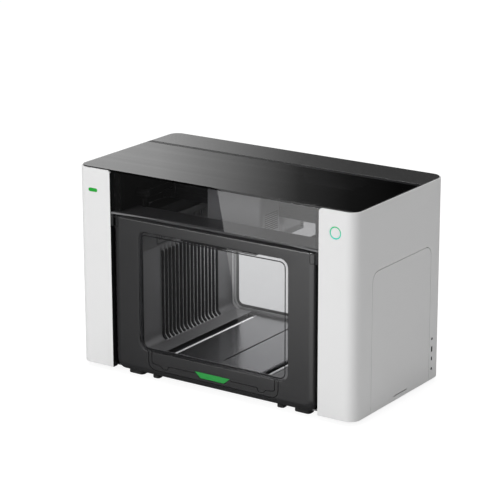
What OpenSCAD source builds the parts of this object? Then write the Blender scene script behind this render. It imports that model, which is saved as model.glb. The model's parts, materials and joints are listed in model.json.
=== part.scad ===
// Desktop laser cutter: a flat-topped case with a flip-up front door, a hinged glass lid,
// a cutting chamber and a scanning laser head that rides on a two-axis gantry.
// X runs along the front, Y from front to back and Z up. The origin is under the middle.

/* [Case] */
// Width over both side covers
case_w = 720; // [680:4:864]
// Depth from the front pillars to the rear panel
case_d = 368; // [340:4:444]
// Height of the case above its feet
case_h = 456; // [400:4:540]
// Height of the rubber feet
foot_h = 10; // [7:1:14]
// Radius of the upright corners of the case
corner_r = 26; // [16:1:36]
// Wall thickness of the side covers
cover_t = 3; // [2:0.5:3.5]
// Width of each front pillar
pillar_w = 90; // [84:2:110]
// How far the glass top stands above the rim of the covers
top_proud = 2.5; // [0:0.5:3]

/* [Door] */
// Thickness of the door frame
door_t = 12; // [10:1:14]
// Black gap between the door and each pillar
door_gap = 8; // [6:0.5:10]
// Half width of the window in the door
window_half = 195; // [170:5:200]
// Height of the window's lower edge above the case bottom
window_sill = 57; // [54:1:70]
// Corner radius of the window
window_r = 20; // [10:1:30]
// Thickness of the window pane
pane_t = 3; // [2:0.5:4]
// Radius of the door's hinge pins
door_pin_r = 2.5; // [2:0.25:3.5]
// Half width of the handle panel under the window
handle_half = 171; // [140:1:180]

/* [Lid] */
// Thickness of the glass top
glass_t = 4.6; // [4:0.2:6]
// Depth of the fixed strip behind the lid
rear_strip_d = 99; // [90:1:110]
// Radius of the lid's hinge pins
lid_pin_r = 1.2; // [0.8:0.1:1.5]

/* [Chamber] */
// Half width of the cutting chamber
chamber_half = 195; // [180:5:200]
// Height of the chamber floor above the case bottom
floor_h = 56; // [48:1:60]
// Height from the gantry deck to the top of the case
bay_h = 95; // [90:1:110]
// Thickness of the moulded chamber walls
wall_t = 4; // [3:0.5:5]
// Radius between chamber wall and floor
fillet_r = 16; // [8:1:20]
// Number of upright grooves in each chamber wall
groove_count = 16; // [8:1:18]
// Distance from one groove to the next
groove_pitch = 14; // [10:0.5:14]
// Radius of the bright rods in the floor
rod_r = 4; // [3:0.5:5]
// Distance of each rod from the middle
rod_x = 124.5; // [120:0.5:130]

/* [Gantry] */
// Depth of each cross beam
beam_d = 21; // [18:1:22]
// Height of each cross beam
beam_h = 36; // [30:1:38]
// Width of the front housing of the laser head
head_w = 142; // [120:2:150]
// Depth of the front housing of the laser head
head_front_d = 76; // [60:1:78]
// Depth of the rear housing of the laser head
head_rear_d = 80; // [60:1:82]
// Radius of the scanning lens
lens_r = 30; // [20:1:34]
// Radius of the belt pulleys
pulley_r = 7.7; // [6:0.1:8]

/* [Services] */
// Bore radius of the exhaust collar
exhaust_r = 32; // [25:1:33]
// Length of the exhaust collar
exhaust_len = 25; // [20:1:28]
// Height of the filter cover in the right side
filter_cover_h = 311; // [260:1:320]
// Outer radius of the light ring round the power button
ring_r = 13.5; // [10:0.5:15]
// Width of that light ring
ring_w = 2; // [1.5:0.5:3]

/* [Hidden] */
$fn = 64;

// Colours of the finishes
white_paint = [0.90, 0.90, 0.90];
dark_paint = [0.17, 0.17, 0.18];
black_plastic = [0.05, 0.05, 0.055];
tinted_glass = [0.10, 0.10, 0.11, 0.6];
clear_glass = [0.75, 0.77, 0.78, 0.35];
grey_metal = [0.45, 0.45, 0.46];
bright_metal = [0.80, 0.80, 0.81];
silver_paint = [0.62, 0.62, 0.63];
leaf_green = [0.10, 0.60, 0.22];
ring_teal = [0.32, 0.83, 0.65];
board_green = [0.05, 0.30, 0.14];

// Clearances between pieces
rest_gap = 0.3;
seam_gap = 0.5;
run_gap = 0.05;
e = 1;

// Overall places
x_out = case_w / 2;
y_front = -case_d / 2;
y_rear = case_d / 2;
z_base = foot_h;
z_top = foot_h + case_h;
z_rim = z_top - top_proud;
z_glass = z_top - glass_t;
inner_r = corner_r - cover_t;
x_in = x_out - cover_t;
pillar_x = x_out - pillar_w;
return_d = 15.5;
pillar_corner_r = 8;
ledge_w = 8;
ledge_t = 4;
rear_half = x_out - corner_r;

// Frame and deck
door_half = pillar_x - door_gap;
frame_t = 3;
frame_x = door_half - 7 - frame_t;
frame_out = frame_x + frame_t;
y_bulkhead = y_front + 16;
y_back_in = y_rear - 6;
z_deck = z_top - bay_h;
beam_box_h = 30;
z_band = z_deck - beam_box_h;
z_wall_top = z_deck - 84;
deck_d = 79;
deck_bow = 18;
lip_t = 3.5;
deck_t = 25;
lip_half = pillar_x - 1.5;
bow_r = (lip_half * lip_half + deck_bow * deck_bow) / (2 * deck_bow);
base_t = 3;
z_pan = z_base + 2;

// Floor
z_floor = z_base + floor_h;
tray_t = 3;
z_tray = z_floor - 15 - tray_t;
channel_in = rod_x - 12.5;
channel_out = rod_x + 15.5;
sill_d = 10;
y_plate = y_bulkhead + sill_d;
channel_end = y_rear - 26;
slit_w = 4.4;
rod_z = z_floor - 4.5 - rod_r;

// Door
z_door = z_base + 2;
z_door_top = z_deck - 5;
door_pin_y = y_front + door_t / 2;
door_pin_z = z_door_top - door_t / 2;
z_sill = z_base + window_sill;
z_window_top = z_deck - 32;
door_corner_r = 16;
pane_over = 8;
handle_t = 4;
handle_r = 18;
handle_h = 41;
tab_top = 92;
tab_bottom = 62;
tab_h = 13;
z_tab = z_base + 22;
tab_travel = 2;

// Lid
glass_in = cover_t + rest_gap;
y_seam = y_rear - rear_strip_d;
hinge_y = y_seam - glass_t / 2;
hinge_z = z_top - glass_t / 2;
rail_d = 12;
hinge_x = 230;
knuckle_w = 8;
hinge_pin_len = 26;
front_glass_t = 4;
y_front_glass = y_front + 3;
top_frame_d = 86;
top_frame_h = 10;

// Gantry
head_x = -2;
y_beam = y_front + 164;
y_beam_rear = y_beam + beam_d + 87;
z_beam = z_deck + 3;
z_beam_top = z_beam + beam_h;
beam_half = frame_x - 40;
end_t = 6;
rail_x = frame_x - 20;
rail_w = 12;
rail_h = 8;
carriage_w = 26;
belt_w = 6;
belt_t = 0.9;
y_belt_x = rail_x - 6;
y_belt_z = z_deck + 31;
y_belt_front = y_front + 76;
y_belt_rear = y_rear - 26;
shaft_r = 3;
shaft_seat = 2;
x_rail_w = 12;
x_rail_h = 6;
x_belt_y = y_beam_rear + 14;
x_belt_z = z_beam_top + 2;
pulley_x = beam_half - 15;
motor_s = 35;
z_motor_plate = z_beam_top + 11;
y_head = y_beam - 1 - head_front_d;
y_head_rear = y_beam + beam_d + 2;
z_head = z_deck - 31;
z_head_top = z_deck + 79;
z_neck = z_beam_top + 12;
rear_head_drop = 4;

// Side bays, ports and back
bay_mid = (frame_out + x_in) / 2;
fan_x = bay_mid - 11;
inlet_x = -fan_x;
cover_front = y_front + 68;
cover_back = y_rear - 54;
cover_corner_r = 23;
port_y = y_rear - 42;
fan_z = z_base + 350;
fan_s = 78;
fan_t = 25;
rear_t = 3;
inlet_z = z_base + 60;
switch_z = inlet_z + 48;
button_x = x_out - 50;
button_z = z_top - 50;
button_r = ring_r - ring_w - rest_gap;
button_travel = 1.5;
badge_x = x_out - 43;
badge_w = 24;
badge_h = 8;

// Shared shapes

// A block between two opposite corners
module block(low, high) {
  translate(low) cube(high - low);
}

// The children and their mirror image across the middle
module both_sides() {
  children();
  mirror([1, 0, 0]) children();
}

// A rectangle with four round corners, between two opposite corners
module round_rect(low, high, r) {
  size = high - low;
  translate([low[0] + r, low[1]]) square([size[0] - 2 * r, size[1]]);
  translate([low[0], low[1] + r]) square([size[0], size[1] - 2 * r]);
  for (x = [low[0] + r, high[0] - r], y = [low[1] + r, high[1] - r])
    translate([x, y]) circle(r);
}

// An upright sheet: the outline is drawn in X and Z, and runs from y0 to y1
module upright(y0, y1) {
  translate([0, y1, 0]) rotate([90, 0, 0]) linear_extrude(y1 - y0) children();
}

// A side sheet: the outline is drawn in Y and Z, and runs from x0 to x1
module sideways(x0, x1) {
  translate([x0, 0, 0]) rotate([90, 0, 90]) linear_extrude(x1 - x0) children();
}

// A rod along X between two places
module rod_x_way(x0, x1, y, z, r) {
  translate([x0, y, z]) rotate([0, 90, 0]) cylinder(h = x1 - x0, r = r);
}

// A rod along Y between two places
module rod_y_way(y0, y1, x, z, r) {
  translate([x, y1, z]) rotate([90, 0, 0]) cylinder(h = y1 - y0, r = r);
}

// The plan of the case, drawn in by a given distance
module case_plan(inset) {
  round_rect([-x_out + inset, y_front + inset], [x_out - inset, y_rear - inset], corner_r - inset);
}

// The part of the plan that one side cover takes
module cover_mask() {
  translate([pillar_x, y_front - e]) square([pillar_w + e, case_d / 2 + e]);
  translate([rear_half, -e]) square([corner_r + e, case_d / 2 + 2 * e]);
}

// The flat wall of one side cover: pillar front, side and rear corner
module cover_wall() {
  translate([0, 0, z_base]) linear_extrude(z_rim - z_base) intersection() {
    difference() {
      case_plan(0);
      case_plan(cover_t);
    }
    cover_mask();
  }
}

// The ledge inside the cover that the glass rests over
module cover_ledge() {
  translate([0, 0, z_glass - rest_gap - ledge_t]) linear_extrude(ledge_t) intersection() {
    difference() {
      case_plan(cover_t);
      case_plan(cover_t + ledge_w);
    }
    cover_mask();
  }
}

// What rounds the upper inner corner of a pillar
module pillar_corner_cut() {
  difference() {
    block([pillar_x - e, y_front - e, z_rim - pillar_corner_r],
      [pillar_x + pillar_corner_r, y_front + return_d + e, z_rim + e]);
    rod_y_way(y_front - 2 * e, y_front + return_d + 2 * e,
      pillar_x + pillar_corner_r, z_rim - pillar_corner_r, pillar_corner_r);
  }
}

// One side cover on the +X side, before its own cuts
module side_cover() {
  difference() {
    union() {
      cover_wall();
      cover_ledge();
      block([pillar_x, y_front + cover_t, z_base],
        [pillar_x + cover_t, y_front + return_d, z_glass - rest_gap]);
    }
    pillar_corner_cut();
  }
}

// Case

module base_pan() {
  color(grey_metal) {
    translate([0, 0, z_pan]) linear_extrude(base_t) intersection() {
      case_plan(cover_t + rest_gap);
      translate([-x_out, y_bulkhead]) square([case_w, case_d]);
    }
    for (y = [y_front + 64, y_rear - 74])
      block([-frame_x + rest_gap, y, z_pan + base_t], [frame_x - rest_gap, y + 10, z_tray]);
  }
}

module foot(x, y, w, d) {
  linear_extrude(foot_h + 2)
    round_rect([x - w / 2, y - d / 2], [x + w / 2, y + d / 2], d / 3);
}

module feet() {
  foot_x = 220;
  foot_w = 40;
  foot_d = 24;
  pad_x = 165;
  pad_w = 18;
  color(black_plastic) both_sides() {
    foot(foot_x, y_bulkhead + foot_d / 2, foot_w, foot_d);
    foot(foot_x, y_rear - 26, foot_w, foot_d);
    foot(pad_x, y_bulkhead + pad_w / 2, pad_w, pad_w);
  }
}

module left_side_cover() {
  recess = 1.5;
  color(white_paint) difference() {
    mirror([1, 0, 0]) side_cover();
    upright(y_front - e, y_front + recess) badge_outline(rest_gap);
  }
}

module right_side_cover() {
  color(white_paint) difference() {
    side_cover();
    sideways(x_in - e, x_out + e) filter_cover_outline(seam_gap);
    rod_y_way(y_front - e, y_front + cover_t + e, button_x, button_z, ring_r + rest_gap);
    sideways(x_in - e, x_out + e) port_holes();
  }
}

// Outline of the four sockets low on the right side, drawn in Y and Z
module port_holes() {
  translate([port_y, z_base + 94.4]) circle(3.2);
  round_rect([port_y - 3, z_base + 64], [port_y + 3, z_base + 77], 1.2);
  round_rect([port_y - 2.6, z_base + 44], [port_y + 2.6, z_base + 53.2], 2.4);
  translate([port_y, z_base + 25]) circle(3.4);
}

module rear_window_outline(grow) {
  half = chamber_half - 9;
  round_rect([-half - grow, z_floor + 5 - grow], [half + grow, z_deck - 59 + grow],
    window_r + grow);
}

module rear_panel() {
  vent_n = 12;
  vent_w = 3;
  vent_half = 30;
  vent_pitch = 9;
  vent_z = z_base + 180;
  color(white_paint) difference() {
    block([-rear_half + rest_gap, y_rear - rear_t, z_base], [rear_half - rest_gap, y_rear, z_rim]);
    upright(y_rear - rear_t - e, y_rear + e) rear_window_outline(0);
    rod_y_way(y_rear - rear_t - e, y_rear + e, fan_x, fan_z, exhaust_r + 4 + rest_gap);
    upright(y_rear - rear_t - e, y_rear + e) inlet_outline(rest_gap);
    for (i = [0 : vent_n - 1])
      block([inlet_x - vent_half, y_rear - rear_t - e, vent_z + i * vent_pitch],
        [inlet_x + vent_half, y_rear + e, vent_z + i * vent_pitch + vent_w]);
  }
}

module rear_window() {
  color(clear_glass) upright(y_rear - rear_t - 3, y_rear - rear_t) rear_window_outline(6);
}

module rear_window_trim() {
  color(black_plastic) upright(y_rear - rear_t, y_rear - 1) difference() {
    rear_window_outline(-rest_gap);
    rear_window_outline(-7);
  }
}

module rear_top_strip() {
  color(dark_paint) translate([0, 0, z_glass]) linear_extrude(glass_t) intersection() {
    case_plan(glass_in);
    translate([-x_out, y_seam + rest_gap]) square([case_w, rear_strip_d]);
  }
}

module rear_top_frame() {
  y0 = y_rear - 6 - top_frame_d;
  color(grey_metal) {
    block([-frame_x, y0, z_glass - rest_gap - frame_t], [frame_x, y_back_in, z_glass - rest_gap]);
    block([-frame_x, y0, z_glass - rest_gap - top_frame_h],
      [frame_x, y0 + frame_t, z_glass - rest_gap]);
  }
}

// The two upright side plates, with the bearing holes of the drive shaft
module side_frames() {
  color(dark_paint) difference() {
    both_sides()
      block([frame_x, y_bulkhead, z_pan + base_t], [frame_out, y_back_in, z_glass - 1]);
    rod_x_way(-frame_out - e, -frame_x + e, y_belt_rear, y_belt_z, shaft_r + run_gap);
    rod_x_way(frame_x - e, frame_x + shaft_seat + rest_gap,
      y_belt_rear, y_belt_z, shaft_r + run_gap);
  }
}

module rail_beams() {
  color(dark_paint) both_sides()
    block([chamber_half + wall_t, y_front + deck_d, z_band], [frame_x, y_back_in, z_deck]);
}

// The front cross beam: a box behind the door's top and a thin lip, hollowed in a shallow bow
module deck_beam() {
  y_mid = y_front + deck_bow;
  color(dark_paint) {
    block([-frame_x, y_bulkhead + 2, z_deck - deck_t],
      [frame_x, y_front + deck_d, z_deck - lip_t]);
    translate([0, 0, z_deck - lip_t]) linear_extrude(lip_t) difference() {
      union() {
        translate([-lip_half, y_front + 1]) square([2 * lip_half, y_bulkhead - y_front - 1]);
        translate([-frame_x, y_front + 1]) square([2 * frame_x, deck_bow + 4]);
        translate([-frame_x, y_mid]) square([2 * frame_x, deck_d - deck_bow]);
      }
      translate([0, y_mid - bow_r]) circle(bow_r, $fn = 360);
    }
  }
}

module front_bulkhead() {
  color(dark_paint) upright(y_bulkhead, y_bulkhead + 2) difference() {
    translate([-frame_x, z_pan + base_t])
      square([2 * frame_x, z_deck - deck_t - rest_gap - z_pan - base_t]);
    translate([-chamber_half, z_floor - 1]) square([2 * chamber_half, z_deck - z_floor]);
  }
}

// Chamber

// One chamber wall on the +X side: an L-shaped moulding with a round inner corner
module chamber_wall() {
  upright(y_bulkhead + 2, y_back_in) difference() {
    translate([channel_out, z_tray + tray_t])
      square([chamber_half + wall_t - channel_out, z_wall_top - z_tray - tray_t]);
    translate([channel_out - e, z_floor + fillet_r])
      square([chamber_half - channel_out + e, z_wall_top - z_floor]);
    translate([channel_out - e, z_floor])
      square([chamber_half - fillet_r - channel_out + e, fillet_r + e]);
    translate([chamber_half - fillet_r, z_floor + fillet_r]) circle(fillet_r);
  }
}

module chamber_walls() {
  groove_w = 5;
  groove_depth = 2.5;
  y0 = y_front + 87;
  color(dark_paint) both_sides() difference() {
    chamber_wall();
    for (i = [0 : groove_count - 1])
      block([chamber_half - e, y0 + i * groove_pitch - groove_w / 2, z_floor + fillet_r + 4],
        [chamber_half + groove_depth, y0 + i * groove_pitch + groove_w / 2, z_wall_top - 11]);
  }
}

module vent_bands() {
  slot_w = 3;
  slot_pitch = 9;
  y0 = y_front + 69;
  count = floor((y_back_in - y0 - 12) / slot_pitch);
  color(silver_paint) both_sides() difference() {
    block([chamber_half + 1, y_bulkhead + 2, z_wall_top],
      [chamber_half + wall_t, y_back_in, z_deck - deck_t]);
    for (i = [1 : count])
      block([chamber_half - e, y0 + i * slot_pitch, z_wall_top + 12],
        [chamber_half + wall_t + e, y0 + i * slot_pitch + slot_w, z_band - 8]);
  }
}

module floor_tray() {
  color(dark_paint)
    block([-frame_x + rest_gap, y_bulkhead + 2, z_tray],
      [frame_x - rest_gap, y_back_in, z_tray + tray_t]);
}

// The folded work plate with its centre slit, and its wider end behind the channels
module work_plate() {
  skin = 3;
  half = channel_in - rest_gap;
  color(grey_metal) difference() {
    union() {
      block([-half, y_plate, z_tray + tray_t], [half, channel_end + e, z_floor]);
      block([-channel_out + rest_gap, channel_end, z_tray + tray_t],
        [channel_out - rest_gap, y_back_in, z_floor]);
    }
    block([-half + skin, y_plate + skin, z_tray], [half - skin, channel_end - skin, z_floor - skin]);
    block([-slit_w / 2, y_front + 44, z_tray], [slit_w / 2, y_rear - 44, z_floor + e]);
  }
}

module front_sill_grille() {
  pitch = 8;
  slot = 4;
  half = chamber_half - fillet_r;
  count = floor(half / pitch) - 1;
  color(dark_paint) difference() {
    block([-channel_out + rest_gap, y_bulkhead + 2, z_tray + tray_t],
      [channel_out - rest_gap, y_plate - rest_gap, z_floor]);
    for (i = [-count : count])
      if (abs(i * pitch) < channel_out - pitch)
        block([i * pitch - slot / 2, y_bulkhead + 3.5, z_floor - 6],
          [i * pitch + slot / 2, y_plate - 1.5, z_floor + e]);
  }
}

// Two bright rods, each held by a block at either end of its channel
module guide_rods() {
  block_d = 8;
  color(bright_metal) both_sides() {
    rod_y_way(y_plate + rest_gap, channel_end - rest_gap, rod_x, rod_z, rod_r);
    for (y = [y_plate + rest_gap, channel_end - rest_gap - block_d])
      block([rod_x - 7, y, z_tray + tray_t], [rod_x + 7, y + block_d, rod_z]);
  }
}

module light_bar() {
  half = 98;
  bar_h = 20;
  camera_r = 7;
  camera_h = 4;
  color(black_plastic) {
    block([-half, y_front + 24, z_deck - deck_t - bar_h], [half, y_front + 38, z_deck - deck_t]);
    translate([0, y_front + 31, z_deck - deck_t - bar_h - camera_h])
      cylinder(h = camera_h, r = camera_r);
  }
}

// Drives on the case

module y_rails() {
  color(bright_metal) both_sides()
    block([rail_x - rail_w / 2, y_front + deck_d + 5, z_deck],
      [rail_x + rail_w / 2, y_rear - 8, z_deck + rail_h]);
}

// A flat closed loop of belt, drawn in two directions of the plane
module belt_loop(a, b, r) {
  difference() {
    union() {
      translate([a, -r - belt_t]) square([b - a, 2 * (r + belt_t)]);
      for (x = [a, b]) translate([x, 0]) circle(r + belt_t);
    }
    translate([a, -r]) square([b - a, 2 * r]);
    for (x = [a, b]) translate([x, 0]) circle(r);
  }
}

module y_belts() {
  post_t = 5;
  idler_z = y_belt_z - pulley_r - 4;
  color(black_plastic) both_sides() {
    sideways(y_belt_x - belt_w / 2, y_belt_x + belt_w / 2) translate([0, y_belt_z])
      belt_loop(y_belt_front, y_belt_rear, pulley_r + rest_gap);
    rod_x_way(y_belt_x - belt_w / 2, frame_x, y_belt_front, y_belt_z, pulley_r + 0.1);
    block([y_belt_x + belt_w / 2 + 1, y_belt_front - post_t, z_deck],
      [y_belt_x + belt_w / 2 + 1 + post_t, y_belt_front + post_t, idler_z]);
  }
}

module y_motor() {
  size = 42;
  half = size / 2;
  color(black_plastic) difference() {
    block([-frame_out - 40, y_belt_rear - half, y_belt_z - half],
      [-frame_out, y_belt_rear + half, y_belt_z + half]);
    rod_x_way(-frame_out - 12, -frame_out + e, y_belt_rear, y_belt_z, shaft_r + run_gap);
  }
}

module y_drive_shaft() {
  color(bright_metal) {
    rod_x_way(-frame_out - 10, frame_x + shaft_seat, y_belt_rear, y_belt_z, shaft_r);
    both_sides()
      rod_x_way(y_belt_x - belt_w / 2, y_belt_x + belt_w / 2, y_belt_rear, y_belt_z, pulley_r);
  }
}

// Door

module door_hinges() {
  color(black_plastic) both_sides() {
    block([door_half + seam_gap, y_front, door_pin_z - 20], [pillar_x, y_front + 14, door_pin_z + 7]);
    rod_x_way(door_half - 18, pillar_x - 1, door_pin_y, door_pin_z, door_pin_r);
  }
}

// The door's outline, square at the top and round at the two lower corners
module door_outline() {
  round_rect([-door_half, z_door], [door_half, door_pin_z], door_corner_r);
  translate([-door_half, door_pin_z - 2 * door_corner_r])
    square([2 * door_half, 2 * door_corner_r]);
}

module window_outline(grow) {
  round_rect([-window_half - grow, z_sill - grow], [window_half + grow, z_window_top + grow],
    window_r + grow);
}

// The panel with the grip line, below the window
module handle_outline(grow) {
  z0 = z_sill - handle_h;
  round_rect([-handle_half - grow, z0 - grow], [handle_half + grow, z0 + 3 * handle_r],
    handle_r + grow);
}

module tab_outline(grow) {
  polygon([
    [-tab_bottom / 2 - grow, z_tab - grow], [tab_bottom / 2 + grow, z_tab - grow],
    [tab_top / 2 + 2 * grow, z_tab + tab_h + grow], [-tab_top / 2 - 2 * grow, z_tab + tab_h + grow]
  ]);
}

module door_frame() {
  color(dark_paint) difference() {
    union() {
      upright(y_front, y_front + door_t) door_outline();
      rod_x_way(-door_half, door_half, door_pin_y, door_pin_z, door_t / 2);
    }
    upright(y_front - e, y_front + door_t + e) window_outline(0);
    upright(y_front - e, y_front + handle_t) handle_outline(rest_gap);
    upright(y_front - e, y_front + handle_t + tab_travel + 1) tab_outline(seam_gap);
    both_sides()
      rod_x_way(door_half - 19, door_half + e, door_pin_y, door_pin_z, door_pin_r + run_gap);
  }
}

module door_window() {
  color(clear_glass) upright(y_front + door_t, y_front + door_t + pane_t) window_outline(pane_over);
}

module door_seal() {
  inset = 4.5;
  band = 5;
  color(black_plastic) upright(y_front + door_t - 1.5, y_front + door_t) difference() {
    window_outline(-inset);
    window_outline(-inset - band);
  }
}

module handle_panel() {
  color(dark_paint) upright(y_front, y_front + handle_t) difference() {
    handle_outline(0);
    translate([-handle_half - e, z_sill]) square([2 * handle_half + 2 * e, handle_h]);
    tab_outline(seam_gap);
  }
}

module latch_tab() {
  color(leaf_green) upright(y_front, y_front + handle_t) tab_outline(0);
}

// Lid

module lid_plan() {
  intersection() {
    case_plan(glass_in);
    translate([-x_out, y_front]) square([case_w, hinge_y - rail_d - y_front]);
  }
}

module lid_glass() {
  color(tinted_glass) {
    translate([0, 0, z_glass]) linear_extrude(glass_t) lid_plan();
    block([-pillar_x + seam_gap, y_front_glass, z_glass], [pillar_x - seam_gap, y_front + 20, z_top]);
  }
}

module lid_front_glass() {
  color(tinted_glass)
    block([-pillar_x + seam_gap, y_front_glass, z_deck + 1.5],
      [pillar_x - seam_gap, y_front_glass + front_glass_t, z_glass]);
}

// The bar along the back edge of the lid, rounded about the hinge line
module lid_hinge_rail() {
  half = x_out - glass_in;
  color(black_plastic) difference() {
    union() {
      block([-half, hinge_y - rail_d, z_glass], [half, hinge_y, z_top]);
      rod_x_way(-half, half, hinge_y, hinge_z, glass_t / 2);
    }
    both_sides() {
      block([hinge_x - knuckle_w / 2 - rest_gap, hinge_y - glass_t / 2 - rest_gap, z_glass - e],
        [hinge_x + knuckle_w / 2 + rest_gap, y_seam + e, z_top + e]);
      rod_x_way(hinge_x - hinge_pin_len / 2 - e, hinge_x + hinge_pin_len / 2 + e,
        hinge_y, hinge_z, lid_pin_r + run_gap);
    }
  }
}

module lid_hinges() {
  y0 = y_rear - 6 - top_frame_d;
  neck = glass_t / 2;
  color(black_plastic) both_sides() {
    rod_x_way(hinge_x - knuckle_w / 2, hinge_x + knuckle_w / 2, hinge_y, hinge_z, glass_t / 2);
    rod_x_way(hinge_x - hinge_pin_len / 2, hinge_x + hinge_pin_len / 2, hinge_y, hinge_z, lid_pin_r);
    block([hinge_x - knuckle_w / 2, hinge_y - neck, z_glass - top_frame_h],
      [hinge_x + knuckle_w / 2, hinge_y + neck, hinge_z]);
    block([hinge_x - knuckle_w / 2, hinge_y, z_glass - top_frame_h],
      [hinge_x + knuckle_w / 2, y0, z_glass - 2]);
  }
}

// Gantry

module cross_beam(y) {
  groove = 2;
  difference() {
    block([-beam_half, y, z_beam], [beam_half, y + beam_d, z_beam_top]);
    for (z = [z_beam + 9 : 9 : z_beam_top - 8])
      block([-beam_half - e, y - e, z], [beam_half + e, y + 1.5, z + groove]);
  }
}

module x_beam_front() {
  color(black_plastic) cross_beam(y_beam);
}

module x_beam_rear() {
  color(black_plastic) cross_beam(y_beam_rear);
}

// End plates and the blocks that straddle the rails
module gantry_ends() {
  y1 = y_beam_rear + beam_d;
  saddle_d = 34;
  saddle_top = z_deck + 17;
  color(grey_metal) both_sides() {
    block([beam_half, y_beam, z_beam], [beam_half + end_t, y1, z_beam_top]);
    for (y = [y_beam, y1 - saddle_d]) difference() {
      block([beam_half + end_t, y, z_deck + 1.5], [rail_x + carriage_w / 2, y + saddle_d, saddle_top]);
      block([rail_x - rail_w / 2 - rest_gap, y - e, z_deck],
        [rail_x + rail_w / 2 + rest_gap, y + saddle_d + e, z_deck + rail_h + rest_gap]);
    }
    block([y_belt_x - belt_w / 2, y_beam + 40, saddle_top - 4],
      [y_belt_x + belt_w / 2, y_beam + 60, y_belt_z - pulley_r - rest_gap - belt_t - 0.2]);
    block([beam_half + end_t, y_beam + 34, saddle_top - 5],
      [y_belt_x + belt_w / 2, y_beam + 61, saddle_top]);
  }
}

module x_rail() {
  y0 = y_beam + (beam_d - x_rail_w) / 2;
  color(bright_metal)
    block([-beam_half, y0, z_beam_top], [beam_half, y0 + x_rail_w, z_beam_top + x_rail_h]);
}

module x_belt() {
  color(black_plastic) translate([0, x_belt_y, x_belt_z]) linear_extrude(belt_w)
    belt_loop(-pulley_x, pulley_x, pulley_r + rest_gap);
}

// The X motor on its raised plate, and the plate that carries the far pulley
module x_motor() {
  leg = 3;
  half = motor_s / 2;
  pin_r = 2.5;
  color(black_plastic) {
    for (side = [-1, 1]) {
      difference() {
        block([side * pulley_x - 14, x_belt_y - half, z_motor_plate],
          [side * pulley_x + 14, x_belt_y + half, z_motor_plate + leg]);
        translate([side * pulley_x, x_belt_y, z_motor_plate - e])
          cylinder(h = leg + 2 * e, r = pin_r + run_gap);
      }
      for (y = [x_belt_y - half, x_belt_y + half - leg])
        block([side * pulley_x - 14, y, z_beam_top], [side * pulley_x + 14, y + leg, z_motor_plate]);
    }
    difference() {
      block([-pulley_x - 14, x_belt_y - half, z_motor_plate + leg],
        [-pulley_x + half, x_belt_y + half, z_motor_plate + leg + 24]);
      translate([-pulley_x, x_belt_y, z_motor_plate]) cylinder(h = 12, r = pin_r + run_gap);
    }
  }
}

module pulley(x) {
  color(bright_metal) {
    translate([x, x_belt_y, x_belt_z]) cylinder(h = belt_w, r = pulley_r);
    translate([x, x_belt_y, x_belt_z]) cylinder(h = belt_w + 10, r = 2.5);
  }
}

module x_drive_pulley() {
  pulley(-pulley_x);
}

module x_idler_pulley() {
  pulley(pulley_x);
}

// Laser head

// A thin-walled housing, open underneath
module housing(low, high, r, skin) {
  translate([0, 0, low[2]]) difference() {
    linear_extrude(high[2] - low[2]) round_rect([low[0], low[1]], [high[0], high[1]], r);
    translate([0, 0, skin]) linear_extrude(high[2] - low[2] - 2 * skin)
      round_rect([low[0] + skin, low[1] + skin], [high[0] - skin, high[1] - skin], r - skin);
  }
}

module head_front_housing() {
  louvre_n = 9;
  louvre_pitch = 4.6;
  low = [head_x - head_w / 2, y_head, z_head];
  high = [head_x + head_w / 2, y_head + head_front_d, z_head_top];
  color(silver_paint) difference() {
    housing(low, high, 7, 3);
    translate([head_x, y_head + head_front_d / 2, z_head - e]) cylinder(h = 6, r = lens_r + rest_gap);
    for (i = [0 : louvre_n - 1])
      block([high[0] - 1.5, high[1] - 62, z_head + 13 + i * louvre_pitch],
        [high[0] + e, high[1] - 10, z_head + 15 + i * louvre_pitch]);
  }
}

module head_rear_housing() {
  fin_n = 10;
  fin_pitch = 4.6;
  half = head_w / 2 - 4;
  low = [head_x - half, y_head_rear, z_head - 15];
  high = [head_x + half, y_head_rear + head_rear_d, z_head_top - rear_head_drop];
  color(silver_paint) difference() {
    housing(low, high, 6, 3);
    for (i = [0 : fin_n - 1])
      block([high[0] - 1.5, high[1] - 16, low[2] + 6 + i * fin_pitch],
        [high[0] + e, high[1] - 5, low[2] + 8 + i * fin_pitch]);
  }
}

module head_neck() {
  half = head_w / 2 - 4;
  color(silver_paint)
    block([head_x - half, y_head + head_front_d, z_neck],
      [head_x + half, y_head_rear, z_head_top - rear_head_drop]);
}

// The block that straddles the X rail, and the clamp that takes the belt
module x_carriage() {
  half = 30;
  clamp_half = 12;
  y0 = y_beam + (beam_d - x_rail_w) / 2;
  clamp_y = y_head_rear + head_rear_d;
  color(grey_metal) {
    difference() {
      block([head_x - half, y_beam + 0.5, z_beam_top + 0.5],
        [head_x + half, y_beam + beam_d - 0.5, z_neck]);
      block([head_x - half - e, y0 - rest_gap, z_beam_top],
        [head_x + half + e, y0 + x_rail_w + rest_gap, z_beam_top + x_rail_h + rest_gap]);
    }
    block([head_x - clamp_half, clamp_y, x_belt_z],
      [head_x + clamp_half, x_belt_y - pulley_r - rest_gap - belt_t - 0.2, x_belt_z + belt_w]);
  }
}

module scan_lens() {
  y = y_head + head_front_d / 2;
  color(black_plastic) translate([head_x, y, z_head]) {
    difference() {
      translate([0, 0, -28]) cylinder(h = 31, r = lens_r);
      translate([0, 0, -29]) cylinder(h = 3, r = lens_r - 5);
    }
  }
}

// Front controls

module power_button() {
  color(white_paint) {
    rod_y_way(y_front, y_front + 3, button_x, button_z, button_r);
    rod_y_way(y_front + 2, y_front + 13, button_x, button_z, 4);
  }
}

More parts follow.
